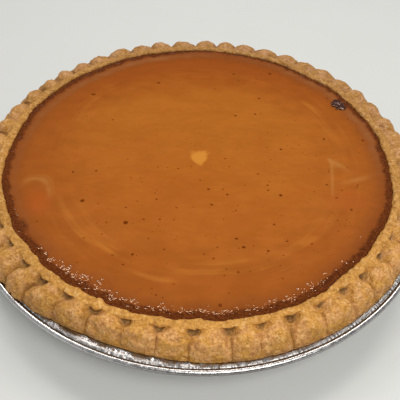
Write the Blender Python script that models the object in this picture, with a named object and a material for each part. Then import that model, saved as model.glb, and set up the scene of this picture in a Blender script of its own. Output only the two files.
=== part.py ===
"""A pumpkin pie in its foil tin: a rolled-rim tin, a crust crimped into pinched lobes, and a set filling.

The three pieces nest. The tin and the filling are turned about the pie's axis with a Screw
modifier, and the crust is built ring by ring, because its rim changes from lobe to lobe.
Origin at the centre of the tin's base, +Z up, metres.
"""

import math
import random

import bmesh
import bpy
import numpy as np

MM = 0.001
TURN = 2.0 * math.pi

# Driving dimensions
TIN_R = 152.4 * MM  # outside of the rolled bead: a 12 inch tin
TIN_DEPTH = 28.0 * MM  # top of the flange above the table
TIN_BASE_R = 118.0 * MM  # where the sloping wall would meet the table
FLANGE_IN_R = 140.5 * MM  # where the wall turns out into the flange
BEAD_R = 1.7 * MM  # radius of the rolled bead's section
BEAD_SIDES = 6  # facets round the bead's section
FOIL = 0.2 * MM  # thickness of the foil
GAP = 0.3 * MM  # between pieces that touch

CRUST_WALL = 5.0 * MM  # pastry against the tin's wall
CRUST_FLOOR = 4.0 * MM  # pastry under the filling
CRUST_MOUTH_R = 128.8 * MM  # inside of the crust where the filling meets it
CRUST_EDGE_R = 149.4 * MM  # pastry's outer edge, before its shifts
EDGE_LIMIT_R = TIN_R - 0.9 * MM  # as far out as the pastry hangs over the bead
FOOT_LIMIT_R = TIN_R - 5.4 * MM  # as far out as it lies on the flange
EDGE_SHIFTS = (  # angle in degrees, reach of the lobes' feet and of their tops, and the tops' lift, in mm
    (-180, 1.6, 0.8, -0.7), (-150, 0.8, 0.7, -0.2), (-130, 0.6, 0.6, 0.0), (-120, -3.2, -3.2, 0.0),
    (-112, -4.9, -4.9, 0.0), (-98, -4.6, -4.6, 0.0), (-88, -3.2, -3.2, 0.0), (-70, -2.7, -2.7, 0.0),
    (-50, -2.4, -2.4, 0.0), (-20, -2.2, -2.2, 0.0), (15, -1.6, -1.6, 0.0), (45, 0.4, 0.1, -0.3),
    (60, 1.3, -0.2, -1.1), (75, 2.3, 0.6, -1.1), (90, 2.9, 0.8, -1.4), (105, 3.0, 0.5, -1.6),
    (120, 2.7, 0.3, -1.5), (135, 2.4, 0.1, -1.6), (150, 2.4, 0.1, -1.3), (165, 2.4, 0.3, -1.2),
)  # fmt: skip
LOBES = 49  # crimped lobes round the rim
LOBE_SEED = 11  # sets how the hand-pressed lobes differ
POCKET_REACH = 0.7  # half width of the pocket pressed in at a crease, as a share of half a lobe
CREASE_DEPTHS = (  # angle in degrees round the pie, and how deep the creases are there
    (-180, 1.05), (-150, 0.95), (-122, 0.96), (-90, 0.84), (-45, 0.84), (-10, 0.8), (35, 0.62), (55, 0.68),
    (80, 0.96), (105, 0.86), (125, 0.9), (150, 0.95),
)  # fmt: skip
LOBE_ROUNDNESS = ((-180, 1.0), (-130, 0.75), (-50, 0.75), (0, 1.0))  # angle, and a factor on the powers

FILLING_RISE = 8.0 * MM  # filling's middle above the flange
FILLING_LIP = 9.8 * MM  # filling's edge above the flange
FILLING_EDGE_R = 127.8 * MM  # filling's edge, just clear of the crust's pinches

STEPS = 2 * LOBES  # facets round each turned piece
LOBE_SHARES = (0.0, 0.16, 0.36, 0.64, 0.84)  # where a lobe is cut, from one crease to the next
CORNER = 2.2 * MM  # bevel where a wall meets its floor

WALL_LEAN = (FLANGE_IN_R - TIN_BASE_R) / TIN_DEPTH  # outward run for each unit of height
WALL_SLANT = math.hypot(1.0, WALL_LEAN)  # horizontal run across a wall for each unit of thickness


def rim_rows():
    """The crimped rim from its inner edge outwards, as heights above the flange.

    Each row is (radius and height at a lobe's middle, radius and height at a crease, the power of
    the sine that swells from crease to lobe, how much the row leans with a slanting crease, how
    far the pocket at the crease pushes the row outwards, and how far upwards).
    """
    edge = CRUST_EDGE_R
    mouth = CRUST_MOUTH_R
    return (
        (mouth, 10.4 * MM, mouth - 0.4 * MM, 10.6 * MM, 2.0, 0.0, 0.0, 0.0),
        (mouth + 1.9 * MM, 11.8 * MM, mouth + 1.7 * MM, 12.0 * MM, 2.0, 0.0, 0.3 * MM, 0.2 * MM),
        (mouth + 4.4 * MM, 11.7 * MM, mouth + 4.5 * MM, 11.2 * MM, 2.0, 0.0, 0.8 * MM, -0.2 * MM),
        (mouth + 6.2 * MM, 11.8 * MM, mouth + 6.0 * MM, 9.6 * MM, 2.2, 0.2, -1.1 * MM, -2.2 * MM),
        (edge - 10.4 * MM, 12.8 * MM, edge - 11.8 * MM, 8.8 * MM, 1.2, 0.5, 0.0, -1.4 * MM),
        (edge - 6.4 * MM, 12.8 * MM, edge - 8.6 * MM, 8.1 * MM, 0.85, 0.8, 0.0, -0.4 * MM),
        (edge - 2.8 * MM, 9.8 * MM, edge - 5.4 * MM, 6.9 * MM, 0.75, 1.0, 0.0, 0.0),
        (edge - 0.6 * MM, 6.0 * MM, edge - 2.6 * MM, 4.6 * MM, 0.7, 1.0, 0.0, 0.0),
        (edge, 3.0 * MM, edge - 1.0 * MM, 2.5 * MM, 0.75, 1.0, 0.0, 0.0),
    )


class Lobes:
    """How each crease and each lobe of the rim differs from the next."""

    def __init__(self):
        draw = random.Random(LOBE_SEED)
        self.shift = [draw.uniform(-0.05, 0.05) for _ in range(LOBES)]
        depth = [draw.uniform(0.85, 1.15) for _ in range(LOBES)]
        self.depth = [depth[i] * round_pie(TURN * i / LOBES, CREASE_DEPTHS) for i in range(LOBES)]
        self.slant = [draw.uniform(-0.29, -0.01) for _ in range(LOBES)]
        self.lift = [draw.uniform(-0.5, 0.4) * MM for _ in range(LOBES)]
        self.bulge = [draw.uniform(-0.5, 0.4) * MM for _ in range(LOBES)]

    def crease_angle(self, i):
        """Angle of crease i: even steps, drawn closer on some stretches of the rim than on others."""
        even = TURN * i / LOBES
        drift = 0.15 - 0.045 * math.sin(even) + 0.11 * math.cos(even) + 0.07 * math.sin(2.0 * even)
        return TURN * (i - drift + self.shift[i % LOBES]) / LOBES

    def point(self, i, share, row):
        """A point of one rim row: share runs from 0 at crease i to 1 at crease i + 1."""
        lobe_r, lobe_z, crease_r, crease_z, power, lean, dent_r, dent_z = row
        after = (i + 1) % LOBES
        start, end = self.crease_angle(i), self.crease_angle(i + 1)
        slant = self.slant[i] * (1.0 - share) + self.slant[after] * share
        angle = start + (end - start) * share + TURN / LOBES * slant * lean
        depth = self.depth[i if share < 0.5 else after]
        if lean >= 0.5:  # the rows of the lobes themselves
            power *= round_pie(angle, LOBE_ROUNDNESS)
        swell = math.sin(math.pi * share) ** power
        pinch = (1.0 - swell) * depth
        dent = depth * pocket_depth(2.0 * min(share, 1.0 - share))
        foot = min(1.0, lobe_z / (4.0 * MM))  # the outer edge varies less, low down by the flange
        bulge = self.bulge[i] * foot * (lean > 0.5)
        radius = lobe_r + bulge * swell + (crease_r - lobe_r) * pinch + dent_r * dent
        height = lobe_z + self.lift[i] * foot * swell + (crease_z - lobe_z) * pinch + dent_z * dent
        rise = min(1.0, max(0.0, (lobe_z - 3.5 * MM) / (4.0 * MM)))  # from the lobes' feet to their tops
        height += lean**2 * rise * round_pie(angle, EDGE_SHIFTS, 3) * MM
        return ring_point(edge_radius(radius, angle, lean, rise, EDGE_LIMIT_R), angle, TIN_DEPTH + height)


def round_pie(angle, table, column=1):
    """One column of a table at an angle, in straight steps between the angles that it gives in degrees."""
    at, value = np.array(table)[:, (0, column)].T
    return float(np.interp(angle, np.radians(at), value, period=TURN))


def edge_radius(radius, angle, lean, rise, limit):
    """A radius that follows the outer edge's shifts by the square of its lean, held within a limit."""
    foot, top = (round_pie(angle, EDGE_SHIFTS, column) for column in (1, 2))
    return min(limit, radius + lean**2 * (foot + (top - foot) * rise) * MM)


def pocket_depth(away):
    """1 at a crease, fading to 0 at the pocket's side; away is 0 at the crease and 1 at a lobe's middle."""
    x = min(1.0, away / POCKET_REACH)
    return 1.0 - x * x * (3.0 - 2.0 * x)


def ring_point(radius, angle, height):
    return (radius * math.cos(angle), radius * math.sin(angle), height)


def wall_radius(height, inset):
    """Radius of the tin's cone, inset by a thickness measured across the wall."""
    return TIN_BASE_R + WALL_LEAN * height - WALL_SLANT * inset


def floor_corner(floor, inset, bevel):
    """The two points of a bevelled corner between a floor and the sloping wall over it."""
    meet = wall_radius(floor, inset)
    up = bevel / WALL_SLANT
    return [(meet - bevel, floor), (meet + WALL_LEAN * up, floor + up)]


def make_material(name, colour, roughness, metallic=0.0):
    material = bpy.data.materials.new(name)
    material.use_nodes = True
    shader = material.node_tree.nodes["Principled BSDF"]
    shader.inputs["Base Color"].default_value = (*colour, 1.0)
    shader.inputs["Roughness"].default_value = roughness
    shader.inputs["Metallic"].default_value = metallic
    material.diffuse_color = (*colour, 1.0)
    return material


def add_object(name, mesh, material, crease_deg):
    mesh.shade_smooth()
    mesh.set_sharp_from_angle(angle=math.radians(crease_deg))
    mesh.materials.append(material)
    obj = bpy.data.objects.new(name, mesh)
    bpy.context.scene.collection.objects.link(obj)
    return obj


def turned_piece(name, profile, material, crease_deg=35.0):
    """A solid turned about the Z axis from (radius, height) points, top of the axis to its foot."""
    mesh = bpy.data.meshes.new(name)
    points = [(radius, 0.0, height) for radius, height in profile]
    edges = [(i, i + 1) for i in range(len(points) - 1)]
    mesh.from_pydata(points, edges, [])
    obj = add_object(name, mesh, material, crease_deg)
    screw = obj.modifiers.new("Turn", "SCREW")
    screw.axis = "Z"
    screw.steps = STEPS
    screw.render_steps = STEPS
    screw.use_merge_vertices = True
    screw.merge_threshold = 0.01 * MM
    screw.use_smooth_shade = True
    return obj


def tin_profile():
    """Section of the tin from the middle of its inside, over the bead, to the middle of its underside."""
    bead_r = TIN_R - BEAD_R
    flange = TIN_DEPTH
    under = flange - FOIL
    inside = [(0.0, FOIL), *floor_corner(FOIL, FOIL, CORNER), (wall_radius(flange, FOIL), flange)]
    turns = [math.pi - TURN * k / BEAD_SIDES for k in range(BEAD_SIDES)]
    bead = [(bead_r + BEAD_R * math.cos(a), flange + BEAD_R * math.sin(a)) for a in turns]
    outside = [(bead_r - BEAD_R, under), (wall_radius(under, 0.0), under)]
    outside += [*reversed(floor_corner(0.0, 0.0, CORNER)), (0.0, 0.0)]
    return inside + bead + outside


def filling_profile():
    """Section of the filling: level in the middle, creeping up to a thin lip at the crust."""
    middle = TIN_DEPTH + FILLING_RISE
    lip = TIN_DEPTH + FILLING_LIP
    creep = 11.0 * MM  # width of the rising edge
    inset = FOIL + 2.0 * GAP + CRUST_WALL
    floor = FOIL + 2.0 * GAP + CRUST_FLOOR
    side_r = CRUST_MOUTH_R - GAP
    side_z = (side_r - wall_radius(0.0, inset)) / WALL_LEAN
    rise = [
        (FILLING_EDGE_R - creep * (1.0 - t), middle + (lip - middle) * t**2) for t in (0.0, 0.45, 0.75, 1.0)
    ]
    foot = reversed(floor_corner(floor, inset, 2 * CORNER))
    return [(0.0, middle), *rise, (side_r, side_z), *foot, (0.0, floor)]


def add_ring(bm, points):
    return [bm.verts.new(point) for point in points]


def even_ring(bm, radius, height):
    return add_ring(bm, [ring_point(radius, TURN * i / STEPS, height) for i in range(STEPS)])


def join_rings(bm, lower, upper):
    """Faces between two closed rings of any counts, seen from outside with lower's angle rising.

    Quads where the counts match. Otherwise triangles, each step taken on the ring that lags.
    """
    n, m = len(lower), len(upper)
    if n == m:
        for i in range(n):
            j = (i + 1) % n
            bm.faces.new((lower[i], lower[j], upper[j], upper[i]))
        return
    i = k = 0
    while i < n or k < m:
        if k >= m or (i < n and (i + 1) * m <= (k + 1) * n):
            bm.faces.new((lower[i % n], lower[(i + 1) % n], upper[k % m]))
            i += 1
        else:
            bm.faces.new((lower[i % n], upper[(k + 1) % m], upper[k % m]))
            k += 1


def crust_mesh():
    """The pastry shell: an outside that follows the tin, the crimped rim, and an inside for the filling."""
    outer_inset = FOIL + GAP
    inner_inset = outer_inset + CRUST_WALL
    outer_floor = FOIL + GAP
    inner_floor = outer_floor + CRUST_FLOOR
    foot = TIN_DEPTH + GAP
    mouth_z = (CRUST_MOUTH_R - wall_radius(0.0, inner_inset)) / WALL_LEAN

    bm = bmesh.new()
    outside = [even_ring(bm, r, z) for r, z in floor_corner(outer_floor, outer_inset, CORNER)]
    outside.append(even_ring(bm, wall_radius(foot, outer_inset), foot))
    turns = [TURN * i / STEPS for i in range(STEPS)]
    lying = [edge_radius(CRUST_EDGE_R - 1.0 * MM, turn, 1.0, 0.0, FOOT_LIMIT_R) for turn in turns]
    outside.append(add_ring(bm, [ring_point(radius, turn, foot) for radius, turn in zip(lying, turns)]))
    lobes = Lobes()
    rim = [
        add_ring(bm, [lobes.point(i, share, row) for i in range(LOBES) for share in LOBE_SHARES])
        for row in reversed(rim_rows())
    ]
    inside = [even_ring(bm, CRUST_MOUTH_R, mouth_z)]
    inside += [even_ring(bm, r, z) for r, z in reversed(floor_corner(inner_floor, inner_inset, 2 * CORNER))]

    rings = outside + rim + inside
    for lower, upper in zip(rings, rings[1:]):
        join_rings(bm, lower, upper)
    bm.faces.new(list(reversed(rings[0])))
    bm.faces.new(rings[-1])
    bmesh.ops.triangulate(bm, faces=bm.faces[:], quad_method="SHORT_EDGE")
    bmesh.ops.recalc_face_normals(bm, faces=bm.faces[:])
    mesh = bpy.data.meshes.new("crust")
    bm.to_mesh(mesh)
    bm.free()
    return mesh


def clear_scene():
    for obj in list(bpy.data.objects):
        bpy.data.objects.remove(obj, do_unlink=True)


def main():
    clear_scene()
    foil = make_material("foil", (0.78, 0.77, 0.75), 0.28, metallic=1.0)
    pastry = make_material("baked_pastry", (0.56, 0.29, 0.09), 0.75)
    custard = make_material("pumpkin_filling", (0.44, 0.12, 0.018), 0.3)
    turned_piece("foil_tin", tin_profile(), foil)
    add_object("crust", crust_mesh(), pastry, 65.0)
    turned_piece("filling", filling_profile(), custard)


main()
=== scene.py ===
"""The finished look of a pumpkin pie in its foil tin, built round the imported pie.

Shapes are functions of two parameters, worked out with numpy as whole arrays in millimetres and
turned into metres where they are put into a mesh. Heights in the crust's table are above the
tin's flange. Angles run anticlockwise from +X, and +Y is the far side.
"""

import math
import random
from itertools import product

import bpy
import numpy as np
from mathutils import Matrix, Vector


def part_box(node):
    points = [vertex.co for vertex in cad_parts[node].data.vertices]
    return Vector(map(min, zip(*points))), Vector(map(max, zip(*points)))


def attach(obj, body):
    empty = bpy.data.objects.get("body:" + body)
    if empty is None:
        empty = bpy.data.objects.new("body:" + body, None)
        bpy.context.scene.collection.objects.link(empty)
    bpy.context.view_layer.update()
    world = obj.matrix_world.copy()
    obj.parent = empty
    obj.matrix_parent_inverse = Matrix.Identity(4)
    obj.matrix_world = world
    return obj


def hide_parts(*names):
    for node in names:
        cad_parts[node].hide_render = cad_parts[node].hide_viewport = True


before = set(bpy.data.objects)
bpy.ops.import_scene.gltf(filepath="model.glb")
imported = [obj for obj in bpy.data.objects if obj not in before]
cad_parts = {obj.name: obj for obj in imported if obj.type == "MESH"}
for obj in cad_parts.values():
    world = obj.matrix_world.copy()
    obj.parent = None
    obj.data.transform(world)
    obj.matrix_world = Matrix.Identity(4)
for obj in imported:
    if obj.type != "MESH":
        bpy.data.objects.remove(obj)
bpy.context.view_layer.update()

MM = 0.001
TURN = 2.0 * math.pi

# The tin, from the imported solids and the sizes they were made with
TIN_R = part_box("foil_tin")[1].x / MM
FLANGE_Z = 28.0
BASE_R = 118.0
FLANGE_IN_R = 140.5
BEAD_R = 1.7
BEAD_MID_R = TIN_R - BEAD_R
FLANGE_OUT_R = BEAD_MID_R - BEAD_R
FOIL = 0.2
GAP = 0.3
CORNER = 2.2  # bevel where a wall meets its floor
WALL_LEAN = (FLANGE_IN_R - BASE_R) / FLANGE_Z
WALL_SLANT = math.hypot(1.0, WALL_LEAN)

# The crust
CRUST_WALL = 5.0
CRUST_FLOOR = 4.0
MOUTH_R = 128.8
EDGE_R = 149.4
MOUTH_OFF = np.array((-1.0, 0.2))  # the mouth sits a little to the left in the tin
LOBES = 49
LOBE_SEED = 11
SLICES = 28  # columns of the surface in one lobe
COLUMNS = LOBES * SLICES

# The filling
FILLING_Z = 36.0
FILLING_LIP_Z = 37.9
FILLING_CREEP = 11.0  # width of the edge that rises to the lip


# Random fields and small sums


def cube_noise(points, size, seed):
    """Smooth random field from -1 to 1.

    Space is cut into cubes of the given size, each corner has a random value, and the values of
    the eight corners round a point are blended with the smooth step 3t^2 - 2t^3 along each side.
    """
    cell = points / np.asarray(size, float)
    base = np.floor(cell).astype(np.int64)
    part = cell - base
    part = part * part * (3.0 - 2.0 * part)
    total = np.zeros(cell.shape[:-1])
    for corner in product((0, 1), repeat=3):
        c = base + np.array(corner)
        mix = (c[..., 0] * 73856093) ^ (c[..., 1] * 19349663) ^ (c[..., 2] * 83492791) ^ (seed * 2654435761)
        mix = ((mix & 0xFFFFFFFF) ^ ((mix & 0xFFFFFFFF) >> 13)) * 1274126177
        mix = (mix & 0xFFFFFFFF) ^ ((mix & 0xFFFFFFFF) >> 16)
        value = (mix & 0xFFFF) / 32767.5 - 1.0
        weight = np.prod(np.where(np.array(corner) == 1, part, 1.0 - part), axis=-1)
        total += weight * value
    return total


def smooth_step(x, low, high):
    """0 below low and 1 above high, with 3t^2 - 2t^3 between them."""
    t = np.clip((x - low) / (high - low), 0.0, 1.0)
    return t * t * (3.0 - 2.0 * t)


def smooth_drop(x, low, high):
    """1 below low and 0 above high, with the same smooth step between them."""
    return 1.0 - smooth_step(x, low, high)


def flat_points(x, y):
    """Points at the given x and y and at height 0, as one array with x, y, z last."""
    return np.stack((x, y, np.zeros_like(x)), axis=-1)


def on_circle(radius, angle, height):
    """Points at the given radii, angles and heights, as one array with x, y, z last."""
    radius, angle, height = np.broadcast_arrays(radius, angle, height)
    return np.stack((radius * np.cos(angle), radius * np.sin(angle), height), axis=-1)


def through_rows(rows, steps):
    """Catmull-Rom curve through the rows of an array, with this many steps from row to row.

    Between rows b and c the curve is half of 2b + (c-a)t + (2a-5b+4c-d)t^2 + (3b-a-3c+d)t^3.
    """
    last = len(rows) - 1
    place = np.arange(last * steps + 1) / steps
    k = np.minimum(place.astype(int), last - 1)
    t = (place - k).reshape((-1,) + (1,) * (rows.ndim - 1))
    a, b, c, d = (rows[np.clip(k + j, 0, last)] for j in (-1, 0, 1, 2))
    return 0.5 * (2 * b + (c - a) * t + (2 * a - 5 * b + 4 * c - d) * t**2 + (3 * b - a - 3 * c + d) * t**3)


def surface_normals(grid):
    """Outward normals of a closed-round grid: the step along the columns crossed with that along the rows."""
    across = np.roll(grid, -1, axis=1) - np.roll(grid, 1, axis=1)
    along = np.gradient(grid, axis=0)
    normal = np.cross(across, along)
    return normal / np.maximum(np.linalg.norm(normal, axis=-1, keepdims=True), 1e-9)


# Meshes


def make_piece(name, points, faces, material, fields):
    """A smooth mesh piece from points in millimetres, riding on the pie, with fields stored on its points."""
    mesh = bpy.data.meshes.new(name)
    mesh.from_pydata(points * MM, [], faces)
    mesh.shade_smooth()
    for field, values in fields.items():
        stored = mesh.attributes.new(field, "FLOAT", "POINT")
        stored.data.foreach_set("value", values.ravel().astype(np.float32))
    mesh.materials.append(material)
    piece = bpy.data.objects.new(name, mesh)
    bpy.context.scene.collection.objects.link(piece)
    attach(piece, "root")
    return piece


def closed_faces(rows, columns):
    """Faces of a closed-round grid, first ring below and last ring above, each closed round a pole."""
    r, c = np.meshgrid(np.arange(rows - 1), np.arange(columns), indexing="ij")
    here, beside = r * columns + c, r * columns + (c + 1) % columns
    quads = np.stack((here, beside, beside + columns, here + columns), axis=-1)
    ring = np.arange(columns)
    after = (ring + 1) % columns
    top = (rows - 1) * columns
    pole = np.full(columns, rows * columns)
    below = np.stack((after, ring, pole), axis=-1)
    above = np.stack((top + ring, top + after, pole + 1), axis=-1)
    return quads.reshape(-1, 4).tolist() + below.tolist() + above.tolist()


def turned_piece(name, grid, material, fields):
    """A closed piece from rings of points, with a pole amid its first ring and one amid its last."""
    points = np.concatenate((grid.reshape(-1, 3), [grid[0].mean(axis=0), grid[-1].mean(axis=0)]))
    ends = {
        field: np.concatenate((values.ravel(), [values[0].mean(), values[-1].mean()]))
        for field, values in fields.items()
    }
    return make_piece(name, points, closed_faces(*grid.shape[:2]), material, ends)


def scattered_balls(name, place, size, tone, material, columns, rows):
    """Many small balls on the filling as one piece; place and size each hold three arrays, for x, y and z.

    Each is a unit ball, with rings at even steps between two poles, stretched by its own sizes.
    """
    tilt = np.pi * np.arange(1, rows) / rows - np.pi / 2
    turn = TURN * np.arange(columns) / columns
    rings = on_circle(np.cos(tilt)[:, None], turn[None, :], np.sin(tilt)[:, None])
    unit = np.concatenate((rings.reshape(-1, 3), [(0, 0, -1), (0, 0, 1)]))
    points = np.stack(place, axis=-1)[:, None, :] + unit[None, :, :] * np.stack(size, axis=-1)[:, None, :]
    step = len(unit)
    faces = closed_faces(rows - 1, columns)
    every = [[i + k * step for i in face] for k in range(len(points)) for face in faces]
    tones = np.repeat(tone[:, None], step, axis=1)
    return make_piece(name, points.reshape(-1, 3), every, material, {"tone": tones})


# Crust


# How deep the creases are, at angles in degrees round the pie
CREASE_DEPTHS = (
    (-180, 1.05), (-150, 0.95), (-122, 0.96), (-90, 0.84), (-45, 0.84), (-10, 0.8), (35, 0.62), (55, 0.68),
    (80, 0.96), (105, 0.86), (125, 0.9), (150, 0.95),
)  # fmt: skip

# Angle in degrees round the pie, how far out the outer edge lies there at the lobes' feet and at their
# tops, and how far the tops are raised
EDGE_SHIFTS = (
    (-180, 1.6, 0.8, -0.7), (-150, 0.8, 0.7, -0.2), (-130, 0.6, 0.6, 0.0), (-120, -3.2, -3.2, 0.0),
    (-112, -4.9, -4.9, 0.0), (-98, -4.6, -4.6, 0.0), (-88, -3.2, -3.2, 0.0), (-70, -2.7, -2.7, 0.0),
    (-50, -2.4, -2.4, 0.0), (-20, -2.2, -2.2, 0.0), (15, -1.6, -1.6, 0.0), (45, 0.4, 0.1, -0.3),
    (60, 1.3, -0.2, -1.1), (75, 2.3, 0.6, -1.1), (90, 2.9, 0.8, -1.4), (105, 3.0, 0.5, -1.6),
    (120, 2.7, 0.3, -1.5), (135, 2.4, 0.1, -1.6), (150, 2.4, 0.1, -1.3), (165, 2.4, 0.3, -1.2),
)  # fmt: skip

# At angles in degrees, a factor on the powers of the outer rows: below one the lobes are flatter
LOBE_ROUNDNESS = ((-180, 1.0), (-130, 0.75), (-50, 0.75), (0, 1.0))


def round_pie(angle, places, column=1):
    """One column of a table with its rows at angles in degrees, in straight steps from row to row."""
    at, value = np.array(places)[:, (0, column)].T
    return np.interp(angle, np.radians(at), value, period=TURN)


def lobe_draws():
    """How each crease and each lobe differs: place, depth, slant, lift and bulge, as five arrays."""
    draw = random.Random(LOBE_SEED)
    limits = ((-0.05, 0.05), (0.85, 1.15), (-0.29, -0.01), (-0.5, 0.4), (-0.5, 0.4))
    shift, depth, slant, lift, bulge = (
        np.array([draw.uniform(low, high) for _ in range(LOBES)]) for low, high in limits
    )
    return shift, depth * round_pie(TURN * np.arange(LOBES) / LOBES, CREASE_DEPTHS), slant, lift, bulge


def crease_angles(shift):
    """Angles of creases 0 to LOBES: even steps, drawn closer on some stretches of the rim than on others."""
    i = np.arange(LOBES + 1)
    even = TURN * i / LOBES
    drift = 0.15 - 0.045 * np.sin(even) + 0.11 * np.cos(even) + 0.07 * np.sin(2.0 * even)
    return TURN * (i - drift + shift[i % LOBES]) / LOBES


# Each row of the rim: radius and height at a lobe's middle, radius and height at a crease, the power
# of the sine that swells from crease to lobe, how much the row leans with a slanting crease, how far
# the thumb's pocket at the crease moves it outwards and down, and how strong the nook's painted shade is
# there.
# The outer rows run from the flange up over the rim, with their radii from EDGE_R, and the mouth's rows
# run over the ledge and down inside it, with theirs from MOUTH_R.
OUTER_ROWS = (
    (-4.8, 0.3, -5.0, 0.3, 1.0, 1.0, 0.0, 0.0, 0.0),
    (-0.4, 0.35, -0.6, 0.35, 1.0, 1.0, 0.0, 0.0, 0.0),
    (0.0, 1.1, -0.4, 1.0, 0.8, 1.0, 0.0, 0.0, 0.0),
    (-0.1, 2.8, -1.2, 2.3, 0.75, 1.0, 0.0, 0.0, 0.0),
    (-0.6, 5.0, -2.3, 3.8, 0.7, 1.0, 0.0, 0.0, 0.0),
    (-1.3, 7.2, -3.7, 5.3, 0.7, 1.0, 0.0, 0.0, 0.0),
    (-2.3, 9.4, -5.1, 6.6, 0.7, 1.0, 0.0, 0.0, 0.0),
    (-4.0, 11.1, -6.8, 7.5, 0.75, 0.9, 0.0, -0.1, 0.0),
    (-6.0, 12.2, -8.6, 8.1, 0.8, 0.8, 0.0, -0.3, 0.0),
    (-8.6, 12.6, -10.4, 8.4, 0.9, 0.65, 0.0, -0.7, 0.0),
    (-10.8, 12.4, -12.1, 8.7, 1.2, 0.5, 0.0, -1.3, 0.15),
    (-12.6, 12.0, -13.3, 9.0, 1.7, 0.35, -0.3, -2.2, 0.4),
)
MOUTH_ROWS = (
    (6.2, 11.6, 6.0, 9.6, 2.2, 0.2, -1.1, -2.6, 0.8),
    (5.2, 11.5, 5.2, 10.4, 2.2, 0.1, -1.9, -1.8, 1.0),
    (4.4, 11.6, 4.5, 11.2, 2.0, 0.0, 0.8, -0.2, 0.2),
    (3.2, 11.7, 3.3, 11.9, 2.0, 0.0, 0.9, 0.2, 0.0),
    (1.9, 11.8, 1.7, 12.0, 2.0, 0.0, 0.3, 0.2, 0.0),
    (0.7, 11.3, 0.3, 11.6, 2.0, 0.0, 0.0, 0.1, 0.0),
    (0.0, 10.4, -0.4, 10.6, 2.0, 0.0, 0.0, 0.0, 0.0),
    (0.0, 9.0, -0.3, 9.2, 2.0, 0.0, 0.0, 0.0, 0.0),
    (0.1, 6.0, -0.2, 6.0, 2.0, 0.0, 0.0, 0.0, 0.0),
)
RIM_ROWS = np.array(OUTER_ROWS + MOUTH_ROWS)
RIM_ROWS[:, (0, 2)] += np.repeat((EDGE_R, MOUTH_R), (len(OUTER_ROWS), len(MOUTH_ROWS)))[:, None]
ROW_STEPS = 3
POCKET_REACH = 0.7  # half width of a pocket, as a share of half a lobe


def rim_grid():
    """The crimped rim as rings of points, with fields for how close to a crease, in a pocket, and the nook's
    painted shade.

    Across a lobe each row swells from its crease to its middle as a power of a sine, and the pocket
    adds a dent that fades out with a smooth step. By the square of its lean, a row follows the outer
    edge's shifts rather than the mouth's offset. The shifts pass from the lobes' feet to their tops
    with the row's height.
    """
    shift, depth, slant, lift, bulge = lobe_draws()
    angles = crease_angles(shift)
    column = np.arange(COLUMNS)
    lobe = column // SLICES
    share = (column % SLICES) / SLICES
    share = share - 0.07 * np.sin(TURN * share)  # closer columns at the creases
    nearest = (lobe + (share >= 0.5)) % LOBES
    width = angles[lobe + 1] - angles[lobe]
    away = 2.0 * np.minimum(share, 1.0 - share)
    tilt = slant[lobe] * (1.0 - share) + slant[(lobe + 1) % LOBES] * share

    lobe_r, lobe_z, crease_r, crease_z, power, lean, dent_r, dent_z, dark = RIM_ROWS.T[..., None]
    angle = angles[lobe] + width * share + TURN / LOBES * tilt * lean
    power = power * np.where(lean < 0.5, 1.0, round_pie(angle, LOBE_ROUNDNESS))
    swell = np.sin(0.5 * math.pi * away[None, :]) ** power
    pinch = (1.0 - swell) * depth[nearest]
    dent = smooth_drop(away, 0.0, POCKET_REACH) * depth[nearest]
    foot = np.minimum(1.0, lobe_z / 4.0)
    radius = lobe_r + bulge[lobe] * foot * (lean > 0.5) * swell + (crease_r - lobe_r) * pinch + dent_r * dent
    height = FLANGE_Z + lobe_z + lift[lobe] * foot * swell + (crease_z - lobe_z) * pinch + dent_z * dent
    rise = np.clip((lobe_z - 3.5) / 4.0, 0.0, 1.0)
    foot_out, top_out, top_up = (round_pie(angle, EDGE_SHIFTS, column) for column in (1, 2, 3))
    shifted = radius + lean**2 * (foot_out + (top_out - foot_out) * rise)
    rows = on_circle(shifted, angle, height + lean**2 * rise * top_up)
    rows[..., :2] += (1.0 - lean[..., None] ** 2) * MOUTH_OFF
    hollow = np.clip(-dent_z / 2.2, 0.0, 1.0) ** 2 * dent
    # how strong the painted shade in the pocket's nook is, under the ledge's overhang
    nook = dark * np.minimum(1.0, 1.25 * dent)
    return (through_rows(each, ROW_STEPS) for each in (rows, pinch, hollow, nook))


def crumbly(grid, strength, pinch):
    """Moves the pastry along its normals: lumps, finer grain, sparse pits, and folds that run up the rim."""
    normal = surface_normals(grid)
    lumps = 0.5 * cube_noise(grid, 6.5, 21) + 0.5 * cube_noise(grid, 2.9, 22)
    grain = 0.16 * cube_noise(grid, 1.5, 23)
    pits = -0.7 * smooth_step(cube_noise(grid, 2.2, 24), 0.42, 0.8)
    angle = np.arctan2(grid[..., 1], grid[..., 0])
    along = flat_points(angle * EDGE_R, grid[..., 2] * 0.25)
    folds = (0.5 + 0.9 * pinch) * (0.26 * cube_noise(along, 1.8, 25) + 0.34 * cube_noise(along, 4.0, 26))
    return grid + normal * (strength * (lumps + grain + pits + folds))[..., None]


def keep_under(value, limit, soft):
    """Values eased under a limit: from soft below it they bend over as a hyperbolic tangent."""
    start = limit - soft
    return np.where(value > start, start + soft * np.tanh((value - start) / soft), value)


def beside_bead(grid):
    """Rim points held clear of the tin's bead: inside it where they are low, and out over it higher up."""
    inside, outside = FLANGE_OUT_R - 0.6, TIN_R - 0.9
    over = np.clip((grid[..., 2] - FLANGE_Z - 1.3) / 1.5, 0.0, 1.0)
    radius = np.hypot(grid[..., 0], grid[..., 1])
    held = keep_under(radius, inside + (outside - inside) * over, 0.5)
    return grid * np.stack((held / radius, held / radius, np.ones_like(radius)), axis=-1)


def floor_corner(floor, inset, bevel):
    """Radii and heights of the bevelled corner between a floor and the sloping wall over it."""
    meet = BASE_R + WALL_LEAN * floor - WALL_SLANT * inset
    up = bevel / WALL_SLANT
    return [(meet - bevel, floor), (meet + WALL_LEAN * up, floor + up)]


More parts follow.
